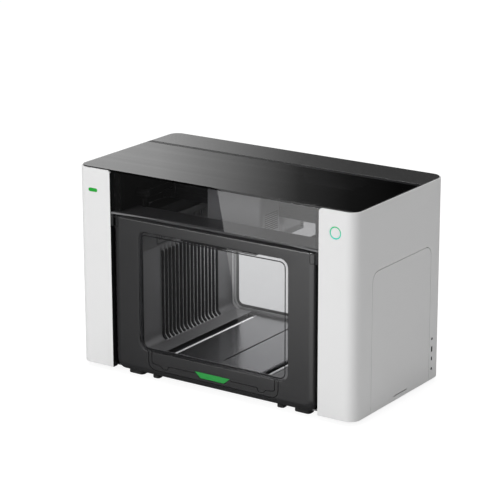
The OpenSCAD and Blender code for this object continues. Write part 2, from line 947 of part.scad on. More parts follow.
// Light ring, with the holder behind the pillar that guides the button's stem
module button_ring_light() {
  color(ring_teal) difference() {
    union() {
      rod_y_way(y_front, y_front + cover_t, button_x, button_z, ring_r);
      rod_y_way(y_front + cover_t, y_front + 12, button_x, button_z, ring_r + 4);
    }
    rod_y_way(y_front - e, y_front + 3 + button_travel + 1, button_x, button_z, ring_r - ring_w);
    rod_y_way(y_front - e, y_front + 14, button_x, button_z, 4 + run_gap);
  }
}

module badge_outline(grow) {
  z = z_top - 52;
  round_rect([-badge_x - badge_w / 2 - grow, z - badge_h / 2 - grow],
    [-badge_x + badge_w / 2 + grow, z + badge_h / 2 + grow], badge_h / 2 + grow - 0.01);
}

module status_badge() {
  color(leaf_green) upright(y_front + 0.2, y_front + 1.5) badge_outline(0);
}

// Right side

module port_block() {
  color(black_plastic)
    block([x_in - 12, port_y - 9, z_base + 10], [x_in, port_y + 9, z_base + 104]);
}

// Outline of the filter cover, drawn in Y and Z: round at the two upper corners
module filter_cover_outline(grow) {
  low = [cover_front - grow, z_base - e];
  high = [cover_back + grow, z_base + filter_cover_h + grow];
  round_rect(low, high, cover_corner_r);
  translate(low) square([high[0] - low[0], 2 * cover_corner_r]);
}

module filter_cover() {
  grip_y = y_front + 191;
  grip_w = 58;
  grip_h = 2.6;
  color(white_paint) difference() {
    sideways(x_in, x_out) intersection() {
      filter_cover_outline(0);
      translate([y_front, z_base]) square([case_d, case_h]);
    }
    sideways(x_in - e, x_out + e)
      round_rect([grip_y - grip_w / 2, z_base + 9], [grip_y + grip_w / 2, z_base + 9 + grip_h],
        grip_h / 2 - 0.01);
  }
}

module filter_cartridge() {
  pleat = 12;
  y0 = cover_front + 8;
  y1 = cover_back - 8;
  color(silver_paint) difference() {
    block([frame_out + 4, y0, z_pan + base_t], [x_in - 5, y1, z_base + filter_cover_h - 8]);
    for (y = [y0 + pleat : pleat : y1 - pleat])
      block([x_in - 11, y, z_base + 30], [x_in - 4, y + pleat / 2, z_base + filter_cover_h - 30]);
  }
}

// Back

module fan_frame() {
  half = fan_s / 2;
  y1 = y_rear - exhaust_len;
  bridge = 6;
  color(black_plastic) {
    difference() {
      block([fan_x - half + 1.5, y1 - fan_t, fan_z - half], [fan_x + half, y1, fan_z + half]);
      rod_y_way(y1 - fan_t - e, y1 + e, fan_x, fan_z, exhaust_r + 2);
    }
    difference() {
      block([fan_x - half + 3, y1 - 4, fan_z - bridge], [fan_x + half - 3, y1, fan_z + bridge]);
      rod_y_way(y1 - 5, y1 + e, fan_x, fan_z, 2 + run_gap);
    }
  }
}

module fan_rotor() {
  y1 = y_rear - exhaust_len - 4 - rest_gap;
  hub_r = 12;
  blade_n = 7;
  blade_t = 2;
  color(black_plastic) {
    rod_y_way(y1 - 18, y1, fan_x, fan_z, hub_r);
    rod_y_way(y1 - 2, y1 + 4, fan_x, fan_z, 2);
    for (i = [0 : blade_n - 1])
      translate([fan_x, y1 - 9, fan_z]) rotate([0, i * 360 / blade_n, 0]) rotate([0, 0, 35])
        translate([-blade_t / 2, -7, hub_r - 2]) cube([blade_t, 14, exhaust_r - hub_r]);
  }
}

module exhaust_collar() {
  color(black_plastic) difference() {
    union() {
      rod_y_way(y_rear - exhaust_len, y_rear, fan_x, fan_z, exhaust_r + 4);
      rod_y_way(y_rear - rear_t - 3, y_rear - rear_t, fan_x, fan_z, exhaust_r + 6);
    }
    rod_y_way(y_rear - exhaust_len - e, y_rear + e, fan_x, fan_z, exhaust_r);
  }
}

// Outline of the inlet and switch insert, drawn in X and Z
module inlet_outline(grow) {
  half = 29;
  round_rect([inlet_x - half - grow, inlet_z - 20 - grow],
    [inlet_x + half + grow, switch_z + 20 + grow], 3);
}

module power_inlet() {
  x = inlet_x;
  color(black_plastic) difference() {
    upright(y_rear - 30, y_rear) inlet_outline(0);
    upright(y_rear - 18, y_rear + e) round_rect([x - 14, inlet_z - 9], [x + 14, inlet_z + 9], 3);
    block([x - 11, y_rear - 14, switch_z - 15], [x + 11, y_rear + e, switch_z + 15]);
    rod_x_way(x - 14, x + 14, y_rear - 6, switch_z, 1.5 + run_gap);
  }
  for (dx = [-8, 0, 8])
    color(bright_metal)
      block([x + dx - 1, y_rear - 18.5, inlet_z - 3], [x + dx + 1, y_rear - 6, inlet_z + 3]);
}

module rocker_switch() {
  x = inlet_x;
  tilt = 5;
  color(black_plastic) translate([0, y_rear - 6, switch_z]) rotate([tilt, 0, 0]) {
    block([x - 9.5, -5, -12], [x + 9.5, 3.5, 12]);
    rod_x_way(x - 13, x + 13, 0, 0, 1.5);
  }
}

// Left bay

module power_supply() {
  color(grey_metal)
    block([-x_in + 8, y_front + 120, z_pan + base_t], [-frame_out - 6, y_rear - 45, z_base + 110]);
}

module control_board() {
  board_t = 1.6;
  color(board_green) {
    block([-frame_out - 8 - board_t, y_front + 70, z_base + 150],
      [-frame_out - 8, y_rear - 70, z_base + 290]);
    for (y = [y_front + 78, y_rear - 84], z = [z_base + 158, z_base + 276])
      block([-frame_out - 8, y, z], [-frame_out, y + 6, z + 6]);
    for (i = [0 : 2])
      block([-frame_out - 22, y_front + 95 + i * 40, z_base + 180],
        [-frame_out - 8 - board_t, y_front + 120 + i * 40, z_base + 205]);
  }
}

base_pan();
feet();
left_side_cover();
right_side_cover();
rear_panel();
rear_window();
rear_window_trim();
rear_top_strip();
rear_top_frame();
side_frames();
rail_beams();
deck_beam();
front_bulkhead();
chamber_walls();
vent_bands();
floor_tray();
work_plate();
front_sill_grille();
guide_rods();
light_bar();
y_rails();
y_belts();
y_motor();
y_drive_shaft();
door_hinges();
door_frame();
door_window();
door_seal();
handle_panel();
latch_tab();
lid_glass();
lid_front_glass();
lid_hinge_rail();
lid_hinges();
x_beam_front();
x_beam_rear();
gantry_ends();
x_rail();
x_belt();
x_motor();
x_drive_pulley();
x_idler_pulley();
head_front_housing();
head_rear_housing();
head_neck();
x_carriage();
scan_lens();
power_button();
button_ring_light();
status_badge();
port_block();
filter_cover();
filter_cartridge();
fan_frame();
fan_rotor();
exhaust_collar();
power_inlet();
rocker_switch();
power_supply();
control_board();
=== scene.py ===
import json
import math

import bmesh
import bpy
import numpy as np
from mathutils import Matrix, Vector


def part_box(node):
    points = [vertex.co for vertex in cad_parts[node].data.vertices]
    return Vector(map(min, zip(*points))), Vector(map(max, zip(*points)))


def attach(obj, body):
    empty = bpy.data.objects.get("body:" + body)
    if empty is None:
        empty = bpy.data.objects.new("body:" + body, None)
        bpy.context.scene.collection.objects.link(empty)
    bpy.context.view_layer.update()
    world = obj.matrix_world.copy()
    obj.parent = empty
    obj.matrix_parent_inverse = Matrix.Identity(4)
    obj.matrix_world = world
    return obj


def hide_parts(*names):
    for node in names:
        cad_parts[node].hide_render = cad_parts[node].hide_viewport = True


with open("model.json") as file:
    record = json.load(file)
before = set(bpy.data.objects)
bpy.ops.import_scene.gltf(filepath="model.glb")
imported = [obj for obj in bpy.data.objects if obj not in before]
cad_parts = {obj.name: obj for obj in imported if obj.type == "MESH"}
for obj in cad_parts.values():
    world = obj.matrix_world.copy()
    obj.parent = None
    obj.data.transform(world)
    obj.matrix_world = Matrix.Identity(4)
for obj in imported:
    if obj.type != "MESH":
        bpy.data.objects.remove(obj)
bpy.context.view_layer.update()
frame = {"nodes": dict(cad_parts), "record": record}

MM = 0.001

# ---------------------------------------------------------------- shader node helpers


def add(tree, kind, inputs=None, **settings):
    """A new node. inputs maps a socket's name or number to a plain value or to another node's socket."""
    node = tree.nodes.new(kind)
    for name, value in settings.items():
        setattr(node, name, value)
    for name, value in (inputs or {}).items():
        if isinstance(value, bpy.types.NodeSocket):
            tree.links.new(value, node.inputs[name])
        else:
            node.inputs[name].default_value = value
    return node


def group(name, inputs, outputs):
    """An empty shader group with named sockets: inputs are (name, type, value), outputs (name, type)."""
    tree = bpy.data.node_groups.new(name, "ShaderNodeTree")
    for label, kind, value in inputs:
        socket = tree.interface.new_socket(label, in_out="INPUT", socket_type="NodeSocket" + kind)
        socket.default_value = value
    for label, kind in outputs:
        tree.interface.new_socket(label, in_out="OUTPUT", socket_type="NodeSocket" + kind)
    return tree, add(tree, "NodeGroupInput").outputs, add(tree, "NodeGroupOutput").inputs


def ramp(tree, fac, *stops):
    """A colour ramp of grey levels: stops are (place, level)."""
    node = add(tree, "ShaderNodeValToRGB", {"Fac": fac})
    points = node.color_ramp.elements
    while len(points) < len(stops):
        points.new(0.5)
    for point, (place, level) in zip(points, stops):
        point.position = place
        point.color = (level, level, level, 1)
    return node.outputs["Color"]


def scaled(tree, vector, factors):
    """A coordinate stretched by a different factor along each axis."""
    return add(tree, "ShaderNodeVectorMath", {0: vector, 1: factors}, operation="MULTIPLY").outputs[0]


def noise(tree, vector, scale, detail=3.0):
    return add(tree, "ShaderNodeTexNoise", {"Vector": vector, "Scale": scale, "Detail": detail}).outputs[0]


def math_node(tree, operation, a, b=0.0):
    return add(tree, "ShaderNodeMath", {0: a, 1: b}, operation=operation).outputs[0]


def make_paint_grain():
    """Fine orange-peel grain of a painted or moulded skin, with faint patches of tone and shine."""
    tree, inn, out = group(
        "paint_grain",
        [("Colour", "Color", (0.5, 0.5, 0.5, 1)), ("Grain Scale", "Float", 900.0), ("Tone", "Float", 0.03),
         ("Roughness", "Float", 0.4), ("Shine Change", "Float", 0.06)],
        [("Colour", "Color"), ("Roughness", "Float"), ("Height", "Float")],
    )
    where = add(tree, "ShaderNodeTexCoord").outputs["Object"]
    grain = noise(tree, where, inn["Grain Scale"], 2.0)
    patches = noise(tree, where, 7.0, 4.0)
    offset = math_node(tree, "SUBTRACT", patches, 0.5)
    tone = math_node(tree, "ADD", math_node(tree, "MULTIPLY", offset, inn["Tone"]), 1.0)
    tinted = add(tree, "ShaderNodeVectorMath", {0: inn["Colour"], "Scale": tone}, operation="SCALE")
    tree.links.new(tinted.outputs[0], out["Colour"])
    change = math_node(tree, "MULTIPLY", offset, inn["Shine Change"])
    tree.links.new(math_node(tree, "ADD", inn["Roughness"], change), out["Roughness"])
    tree.links.new(grain, out["Height"])
    return tree


def make_brushed_lines():
    """Long fine scratches of brushed or ground metal along one axis."""
    tree, inn, out = group(
        "brushed_lines",
        [("Colour", "Color", (0.5, 0.5, 0.5, 1)), ("Stretch", "Vector", (1.0, 60.0, 60.0)),
         ("Contrast", "Float", 0.12), ("Roughness", "Float", 0.3)],
        [("Colour", "Color"), ("Roughness", "Float"), ("Height", "Float")],
    )
    where = add(tree, "ShaderNodeTexCoord").outputs["Object"]
    lines = noise(tree, scaled(tree, where, inn["Stretch"]), 12.0, 5.0)
    offset = math_node(tree, "MULTIPLY", math_node(tree, "SUBTRACT", lines, 0.5), inn["Contrast"])
    tone = math_node(tree, "ADD", offset, 1.0)
    tinted = add(tree, "ShaderNodeVectorMath", {0: inn["Colour"], "Scale": tone}, operation="SCALE")
    tree.links.new(tinted.outputs[0], out["Colour"])
    tree.links.new(math_node(tree, "ADD", inn["Roughness"], offset), out["Roughness"])
    tree.links.new(lines, out["Height"])
    return tree


def make_light_dust():
    """Sparse pale specks and smears that lie on upward faces of dark parts."""
    tree, inn, out = group(
        "light_dust",
        [("Colour", "Color", (0.1, 0.1, 0.1, 1)), ("Amount", "Float", 0.05)],
        [("Colour", "Color")],
    )
    where = add(tree, "ShaderNodeTexCoord").outputs["Object"]
    normal = add(tree, "ShaderNodeNewGeometry").outputs["Normal"]
    up = add(tree, "ShaderNodeSeparateXYZ", {0: normal}).outputs[2]
    specks = ramp(tree, noise(tree, where, 260.0, 2.0), (0.58, 0.0), (0.72, 1.0))
    smears = ramp(tree, noise(tree, where, 9.0, 4.0), (0.4, 0.0), (0.75, 1.0))
    both = math_node(tree, "MULTIPLY", specks, smears)
    lying = math_node(tree, "MULTIPLY", both, math_node(tree, "MAXIMUM", up, 0.0))
    share = math_node(tree, "MULTIPLY", lying, inn["Amount"])
    mixed = add(tree, "ShaderNodeMix", {0: share, 6: inn["Colour"], 7: (0.6, 0.6, 0.58, 1)}, data_type="RGBA")
    tree.links.new(mixed.outputs[2], out["Colour"])
    return tree


PAINT_GRAIN = make_paint_grain()
BRUSHED_LINES = make_brushed_lines()
LIGHT_DUST = make_light_dust()


def effect(tree, group_tree, inputs):
    """Places a shared effect group in a material with its own values."""
    return add(tree, "ShaderNodeGroup", inputs, node_tree=group_tree).outputs


def new_material(name):
    material = bpy.data.materials.new(name)
    material.use_nodes = True
    tree = material.node_tree
    tree.nodes.clear()
    return material, tree, add(tree, "ShaderNodeOutputMaterial")


def bump(tree, height, strength, distance):
    values = {"Height": height, "Strength": strength, "Distance": distance}
    return add(tree, "ShaderNodeBump", values).outputs[0]


def painted(name, colour, roughness, grain=900.0, depth=0.02, tone=0.03, metallic=0.0, dust=0.0, shine=0.5):
    """A painted or moulded surface with fine grain."""
    material, tree, end = new_material(name)
    skin = effect(tree, PAINT_GRAIN, {
        "Colour": (*colour, 1), "Grain Scale": grain, "Tone": tone, "Roughness": roughness})
    base = skin["Colour"]
    if dust:
        base = effect(tree, LIGHT_DUST, {"Colour": base, "Amount": dust})["Colour"]
    shader = add(tree, "ShaderNodeBsdfPrincipled", {
        "Base Color": base, "Roughness": skin["Roughness"], "Metallic": metallic,
        "Specular IOR Level": shine, "Normal": bump(tree, skin["Height"], depth, 0.0004)})
    tree.links.new(shader.outputs[0], end.inputs[0])
    return material


def brushed(name, colour, roughness, stretch, contrast=0.12, metallic=1.0, depth=0.05):
    """Brushed or ground metal with lines along one axis."""
    material, tree, end = new_material(name)
    skin = effect(tree, BRUSHED_LINES, {
        "Colour": (*colour, 1), "Stretch": stretch, "Contrast": contrast, "Roughness": roughness})
    shader = add(tree, "ShaderNodeBsdfPrincipled", {
        "Base Color": skin["Colour"], "Roughness": skin["Roughness"], "Metallic": metallic,
        "Normal": bump(tree, skin["Height"], depth, 0.0002)})
    tree.links.new(shader.outputs[0], end.inputs[0])
    return material


def pane(name, tint, gain=1.0, smudge=0.02, streak=0.0):
    """A clear or tinted pane: it lets light straight through, and mirrors more at a flat angle."""
    material, tree, end = new_material(name)
    where = add(tree, "ShaderNodeTexCoord").outputs["Object"]
    smears = ramp(tree, noise(tree, where, 14.0, 3.0), (0.45, 0.0), (0.8, smudge))
    mirror = add(tree, "ShaderNodeBsdfPrincipled", {
        "Base Color": (1, 1, 1, 1), "Metallic": 1.0, "Roughness": smears})
    clear = add(tree, "ShaderNodeBsdfTransparent", {"Color": (*tint, 1)})
    near_face = math_node(tree, "SUBTRACT", 1.0, add(tree, "ShaderNodeNewGeometry").outputs["Backfacing"])
    share = math_node(tree, "MULTIPLY", add(tree, "ShaderNodeFresnel", {"IOR": 1.5}).outputs[0], near_face)
    share = math_node(tree, "MULTIPLY", share, gain)
    if streak:
        lines = noise(tree, scaled(tree, where, (0.6, 60.0, 1.0)), 1.0, 1.0)
        bands = ramp(tree, lines, (0.35, 0.0), (0.7, streak))
        share = math_node(tree, "MULTIPLY", share, math_node(tree, "ADD", bands, 1.0 - streak / 2))
    mix = add(tree, "ShaderNodeMixShader", {0: share, 1: clear.outputs[0], 2: mirror.outputs[0]})
    tree.links.new(mix.outputs[0], end.inputs[0])
    return material


def glowing(name, low, high, z0, z1, strength):
    """A light guide whose colour runs from low at height z0 to high at z1."""
    material, tree, end = new_material(name)
    where = add(tree, "ShaderNodeTexCoord").outputs["Object"]
    z = add(tree, "ShaderNodeSeparateXYZ", {0: where}).outputs[2]
    share = add(tree, "ShaderNodeMapRange", {0: z, 1: z0, 2: z1}).outputs[0]
    colour = add(tree, "ShaderNodeMix", {0: share, 6: (*low, 1), 7: (*high, 1)}, data_type="RGBA").outputs[2]
    shader = add(tree, "ShaderNodeBsdfPrincipled", {
        "Base Color": colour, "Roughness": 0.35, "Emission Color": colour, "Emission Strength": strength,
        "Specular IOR Level": 0.2})
    tree.links.new(shader.outputs[0], end.inputs[0])
    return material


def woven_strip(name):
    """Dark glass with a fine woven print under it."""
    material, tree, end = new_material(name)
    where = add(tree, "ShaderNodeTexCoord").outputs["Object"]
    place = add(tree, "ShaderNodeSeparateXYZ", {0: where}).outputs
    pitch = 1 / 0.0044
    across = math_node(tree, "SINE", math_node(tree, "MULTIPLY", place[0], pitch * math.tau))
    along = math_node(tree, "SINE", math_node(tree, "MULTIPLY", place[1], pitch * math.tau))
    weave = math_node(tree, "MULTIPLY", across, along)
    shade = ramp(tree, math_node(tree, "MULTIPLY_ADD", weave, 0.5), (0.1, 0.012), (0.6, 0.075))
    skin = effect(tree, PAINT_GRAIN, {"Colour": shade, "Roughness": 0.16, "Shine Change": 0.05, "Tone": 0.1})
    shader = add(tree, "ShaderNodeBsdfPrincipled", {
        "Base Color": skin["Colour"], "Roughness": skin["Roughness"],
        "Normal": bump(tree, weave, 0.12, 0.0002)})
    tree.links.new(shader.outputs[0], end.inputs[0])
    return material


WHITE = painted("satin_white", (0.80, 0.80, 0.80), 0.42, 1100.0, 0.02, 0.015)
DOOR = painted("door_dark_satin", (0.022, 0.022, 0.023), 0.26, 1300.0, 0.03, 0.05, shine=1.0)
CHAMBER = painted("chamber_satin", (0.14, 0.14, 0.142), 0.34, 900.0, 0.02, 0.05, metallic=0.2)
# Ridges of the grooved chamber walls: a lighter grey that paints the highlight they catch.
RIDGE_PAINTED_HIGHLIGHT = painted("ridge_painted_highlight", (0.42, 0.42, 0.425), 0.30, 900.0, 0.02, 0.05, metallic=0.2)
FRAME_DARK = painted("frame_black", (0.030, 0.030, 0.032), 0.4, 1000.0, 0.03, 0.06, dust=0.05)
DECK = painted("deck_dark_satin", (0.18, 0.18, 0.184), 0.38, 1200.0, 0.03, 0.05)
# Also painted shade: the door's cut grooves, the side covers' faces at the doorway and the strip behind the
# filter cover's seam take this black.
BLACK = painted("black_moulding_and_painted_shade", (0.014, 0.014, 0.015), 0.42, 800.0, 0.05, 0.08, dust=0.03)
GLOSS_BLACK = painted("black_band", (0.008, 0.008, 0.009), 0.2, 1500.0, 0.01, 0.05)
RUBBER = painted("foot_rubber", (0.016, 0.016, 0.016), 0.75, 600.0, 0.15, 0.15)
SILVER = painted("head_silver", (0.52, 0.52, 0.53), 0.36, 1300.0, 0.03, 0.03, metallic=0.1)
BAND = painted("band_silver", (0.10, 0.10, 0.10), 0.45, 1300.0, 0.03, 0.04, metallic=0.2)
PLATE = brushed("work_plate_ground", (0.40, 0.40, 0.41), 0.22, (60.0, 1.0, 60.0), 0.10)
STEEL = brushed("sheet_steel", (0.42, 0.42, 0.43), 0.34, (1.0, 50.0, 50.0), 0.15)
CHROME = brushed("bright_rod", (0.86, 0.86, 0.87), 0.12, (60.0, 1.0, 60.0), 0.05)
ROD = brushed("polished_rod", (0.92, 0.92, 0.93), 0.30, (60.0, 1.0, 60.0), 0.05, 0.35)
# Also painted shade, in the grooves of the chamber walls and of the head housings.
MATTE_BLACK = painted("matte_black_and_painted_shade", (0.010, 0.010, 0.011), 0.7, 900.0, 0.05, 0.1, shine=0.2)
BEAM = brushed("beam_anodised", (0.045, 0.045, 0.048), 0.35, (1.0, 70.0, 70.0), 0.25, 0.6)
GREEN = painted("latch_green", (0.020, 0.33, 0.055), 0.38, 900.0, 0.03, 0.05)
BADGE = painted("badge_green", (0.012, 0.40, 0.035), 0.3, 900.0, 0.01, 0.05)
BOARD = painted("solder_mask", (0.012, 0.10, 0.04), 0.35, 400.0, 0.05, 0.2)
PLEATS = painted("filter_fleece", (0.62, 0.62, 0.60), 0.85, 500.0, 0.3, 0.08)
LID = pane("lid_tint", (0.17, 0.17, 0.173), 1.0, 0.02, 0.07)
FRONT_GLASS = pane("front_tint", (0.68, 0.68, 0.685), 2.0)
WINDOW = pane("window_tint", (0.93, 0.93, 0.935), 2.0)
REAR_GLASS = pane("rear_tint", (0.78, 0.782, 0.785), 1.0)
WEAVE = woven_strip("rear_strip_weave")

# ---------------------------------------------------------------- mesh helpers


def mark_sharp(mesh, angle=35.0):
    """Smooth shading with a hard line at each edge sharper than angle."""
    bm = bmesh.new()
    bm.from_mesh(mesh)
    limit = math.radians(angle)
    for face in bm.faces:
        face.smooth = True
    for edge in bm.edges:
        edge.smooth = len(edge.link_faces) == 2 and edge.calc_face_angle(0) < limit
    bm.to_mesh(mesh)
    bm.free()


def fix_normals(mesh):
    """Turns all faces outwards."""
    bm = bmesh.new()
    bm.from_mesh(mesh)
    bmesh.ops.recalc_face_normals(bm, faces=bm.faces)
    bm.to_mesh(mesh)
    bm.free()


def new_piece(name, verts, faces, material, body):
    mesh = bpy.data.meshes.new(name)
    mesh.from_pydata([tuple(v) for v in verts], [], faces)
    mesh.update()
    piece = bpy.data.objects.new(name, mesh)
    bpy.context.scene.collection.objects.link(piece)
    mesh.materials.append(material)
    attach(piece, body)
    return piece


def apply_modifiers(piece):
    """Turns the piece's modifiers into plain mesh."""
    bpy.context.view_layer.update()
    shaped = bpy.data.meshes.new_from_object(piece.evaluated_get(bpy.context.evaluated_depsgraph_get()))
    old = piece.data
    piece.modifiers.clear()
    piece.data = shaped
    bpy.data.meshes.remove(old)


def flat_shading(piece):
    """Keeps large flat faces flat in the shading, so only the eased edges look round."""
    modifier = piece.modifiers.new("normals", "WEIGHTED_NORMAL")
    modifier.mode = "FACE_AREA"
    modifier.weight = 100
    modifier.keep_sharp = True
    apply_modifiers(piece)


def bevel(piece, width, segments=2, angle=30.0):
    modifier = piece.modifiers.new("edge", "BEVEL")
    modifier.width = width
    modifier.segments = segments
    modifier.limit_method = "ANGLE"
    modifier.angle_limit = math.radians(angle)
    modifier.use_clamp_overlap = True
    apply_modifiers(piece)
    mark_sharp(piece.data)
    flat_shading(piece)


def body_of_node(node):
    for body, members in frame["record"]["behaviour"]["bodies"].items():
        if node in members:
            return body
    raise KeyError(node)


def eased(node, material, width=0.4, segments=2, angle=30.0, rim=0.0):
    """A copy of a CAD node with its sharp edges eased, which stands for the node.

    rim eases the edges of its top face more.
    """
    source = frame["nodes"][node]
    bm = bmesh.new()
    bm.from_mesh(source.data)
    bmesh.ops.remove_doubles(bm, verts=bm.verts, dist=0.00001)
    bmesh.ops.dissolve_limit(bm, angle_limit=math.radians(0.5), verts=bm.verts, edges=bm.edges)
    if rim:
        top = max(v.co.z for v in bm.verts) - 0.01 * MM
        edges = [e for e in bm.edges if min(v.co.z for v in e.verts) > top and e.calc_face_angle(0) > 0.7]
        bmesh.ops.bevel(
            bm, geom=edges, offset=rim * MM, segments=3, profile=0.5, affect="EDGES", clamp_overlap=True)
    mesh = bpy.data.meshes.new(node + "_eased")
    bm.to_mesh(mesh)
    bm.free()
    mesh.materials.clear()
    mesh.materials.append(material)
    for polygon in mesh.polygons:
        polygon.material_index = 0
    piece = bpy.data.objects.new(node + "_eased", mesh)
    bpy.context.scene.collection.objects.link(piece)
    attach(piece, body_of_node(node))
    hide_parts(node)
    bevel(piece, width * MM, segments, angle)
    return piece


def finish_node(node, material):
    """A CAD node that keeps its own mesh, with a better material."""
    mesh = frame["nodes"][node].data
    mesh.materials.clear()
    mesh.materials.append(material)
    for polygon in mesh.polygons:
        polygon.material_index = 0


def arc(cx, cz, r, start, end, steps):
    """Points along an arc, angles in degrees."""
    angles = [math.radians(start + (end - start) * i / steps) for i in range(steps + 1)]
    return [(cx + r * math.cos(a), cz + r * math.sin(a)) for a in angles]


def round_rectangle(x0, x1, z0, z1, r_low, r_high, steps=8):
    """Outline of a rectangle with round corners, against the clock from the lower right."""
    corners = ((x1 - r_low, z0 + r_low, r_low, -90), (x1 - r_high, z1 - r_high, r_high, 0),
               (x0 + r_high, z1 - r_high, r_high, 90), (x0 + r_low, z0 + r_low, r_low, 180))
    return [point for x, z, r, start in corners for point in arc(x, z, r, start, start + 90, steps)]


def scaled_ring(outline, factor):
    """An outline drawn in towards its own middle."""
    u = sum(p[0] for p in outline) / len(outline)
    v = sum(p[1] for p in outline) / len(outline)
    return [(u + (a - u) * factor, v + (b - v) * factor) for a, b in outline]


def lathe_rings(rings, closed=True):
    """Faces between rings of equal length, given as lists of points, joined in turn."""
    count = len(rings[0])
    faces = []
    for k in range(len(rings) - 1 + (1 if closed else 0)):
        a, b = k * count, (k + 1) % len(rings) * count
        faces += [(a + i, a + (i + 1) % count, b + (i + 1) % count, b + i) for i in range(count)]
    return [p for ring in rings for p in ring], faces


def cut(piece, cutters):
    """Takes the cutters' shapes out of the piece."""
    for cutter in cutters:
        modifier = piece.modifiers.new("cut", "BOOLEAN")
        modifier.operation = "DIFFERENCE"
        modifier.object = cutter
        modifier.solver = "EXACT"
        modifier.material_mode = "TRANSFER"
    apply_modifiers(piece)
    for cutter in cutters:
        bpy.data.objects.remove(cutter)


def prism(name, outline, y0, y1, material):
    """A loose upright prism: the outline is in X and Z, and runs from y0 to y1."""
    count = len(outline)
    verts = [(x, y0, z) for x, z in outline] + [(x, y1, z) for x, z in outline]
    faces = [tuple(range(count)), tuple(range(2 * count - 1, count - 1, -1))]
    faces += [(i + count, (i + 1) % count + count, (i + 1) % count, i) for i in range(count)]
    mesh = bpy.data.meshes.new(name)
    mesh.from_pydata(verts, [], faces)
    fix_normals(mesh)
    mesh.materials.append(material)
    piece = bpy.data.objects.new(name, mesh)
    bpy.context.scene.collection.objects.link(piece)
    return piece


def rounded_path(points, radius, steps=5):
    """An open path whose inner corners are rounded."""
    path = [Vector(points[0])]
    for before, corner, after in zip(points, points[1:], points[2:]):
        corner = Vector(corner)
        back, on = (Vector(before) - corner), (Vector(after) - corner)
        reach = min(radius, back.length / 2.1, on.length / 2.1)
        start, end = corner + back.normalized() * reach, corner + on.normalized() * reach
        for i in range(steps + 1):
            t = i / steps
            path.append(start * (1 - t) ** 2 + corner * 2 * t * (1 - t) + end * t ** 2)
    path.append(Vector(points[-1]))
    return path


def ribbon(path, width):
    """The outline of a line of the given width along a path."""
    left, right = [], []
    for i, point in enumerate(path):
        way = (path[min(i + 1, len(path) - 1)] - path[max(i - 1, 0)]).normalized()
        side = Vector((-way.y, way.x)) * width / 2
        left.append(tuple(point + side))
        right.append(tuple(point - side))
    return left + right[::-1]


# ---------------------------------------------------------------- door


def window_edges():
    """The door's window opening, taken from the pane that overlaps it all round."""
    overlap = 8 * MM
    low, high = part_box("door_window")
    return low.x + overlap, high.x - overlap, low.z + overlap, high.z - overlap


def grip_line(x0, x1, top, bottom):
    """The outer U-shaped line under the window."""
    return rounded_path([(x0, top), (x0, bottom), (x1, bottom), (x1, top)], 22 * MM, 8)


def comb_line(x0, x1, top, z, tab_half, tab_z):
    """The inner stepped line of the grip panel, from one side to the green tab; mirrored for the other."""
    notch = 10 * MM
    return rounded_path([
        (x0, top), (x0, z + 1 * MM), (x0 + 8 * MM, z - 2 * MM), (x0 + 24 * MM, z - 3 * MM),
        (x0 + 28 * MM, z - notch), (x0 + 42 * MM, z - notch), (x0 + 45 * MM, z - 1 * MM),
        (-tab_half - 12 * MM, z - 1 * MM), (-tab_half - 1 * MM, tab_z)], 3.5 * MM, 4)


def make_door():
    """The door frame: rolled outer edge, eased window opening, and the lines of the grip panel."""
    low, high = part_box("door_frame")
    y0, y1 = low.y, high.y
    wx0, wx1, wz0, wz1 = window_edges()
    top_roll, side_roll, low_roll, roll_depth = 6 * MM, 15 * MM, 16 * MM, 9 * MM
    corner, lip = 22 * MM, 1.2 * MM
    back_round, back_ease = 4 * MM, 1 * MM
    steps = 10
    rings = []
    for k in range(steps + 1):
        a = math.pi / 2 * k / steps
        out, back = 1 - math.sin(a), 1 - math.cos(a)
        rings.append([(x, y0 + back * roll_depth, z) for x, z in round_rectangle(
            low.x + side_roll * out, high.x - side_roll * out, low.z + low_roll * out,
            high.z - top_roll * out, corner - side_roll * out * 0.4, back_round)])
    for ease, y in ((0, y1 - back_ease), (back_ease, y1)):
        rings.append([(x, y, z) for x, z in round_rectangle(
            low.x + ease, high.x - ease, low.z + ease, high.z - ease, corner, back_round)])
    window_r = 20 * MM
    for inset, y in ((0, y1), (0, y0 + lip), (0.35 * lip, y0 + 0.3 * lip), (lip, y0)):
        rings.append([(x, y, z) for x, z in round_rectangle(
            wx0 - inset, wx1 + inset, wz0 - inset, wz1 + inset, window_r + inset, window_r + inset)])
    verts, faces = lathe_rings(rings)
    door = new_piece("door_shell", verts, faces, DOOR, "door")
    fix_normals(door.data)

    grip_low, grip_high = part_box("handle_panel")
    tab_low, tab_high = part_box("latch_tab")
    line, depth = 1.7 * MM, 2.5 * MM
    above = grip_high.z + 3 * MM
    z_line = tab_high.z - 3 * MM
    outer = ribbon(grip_line(grip_low.x, grip_high.x, above, grip_low.z), line)
    step = comb_line(grip_low.x + 9 * MM, 0, above, z_line, tab_high.x, z_line - 1 * MM)
    inner = ribbon(step, line)
    # The cutters' black goes onto the cut faces: painted shade in the grip lines, the corner lines and the gap
    # round the latch tab.
    cutters = [prism(name, path, y0 - depth, y0 + depth, BLACK) for name, path in (
        ("cut_u", outer), ("cut_l", inner), ("cut_r", [(-x, z) for x, z in inner]))]
    plate_x, plate_z = high.x - 13 * MM, high.z - 26 * MM
    corner_plate = ribbon(rounded_path([
        (plate_x, high.z + 2 * MM), (plate_x, plate_z), (high.x + 2 * MM, plate_z)], 2 * MM, 3), 1.1 * MM)
    cutters += [prism("cut_corner", [(side * x, z) for x, z in corner_plate], y0 - depth, y0 + 12 * MM, BLACK)
                for side in (-1, 1)]
    gap, half_low = 0.8 * MM, 31 * MM
    tab = [(-half_low - gap, tab_low.z - gap), (half_low + gap, tab_low.z - gap),
           (tab_high.x + 2 * gap, tab_high.z + gap), (tab_low.x - 2 * gap, tab_high.z + gap)]
    cutters.append(prism("cut_tab", tab, y0 - depth, y0 + 7 * MM, BLACK))
    cut(door, cutters)
    mark_sharp(door.data, 40)
    flat_shading(door)
    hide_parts("door_frame", "handle_panel")


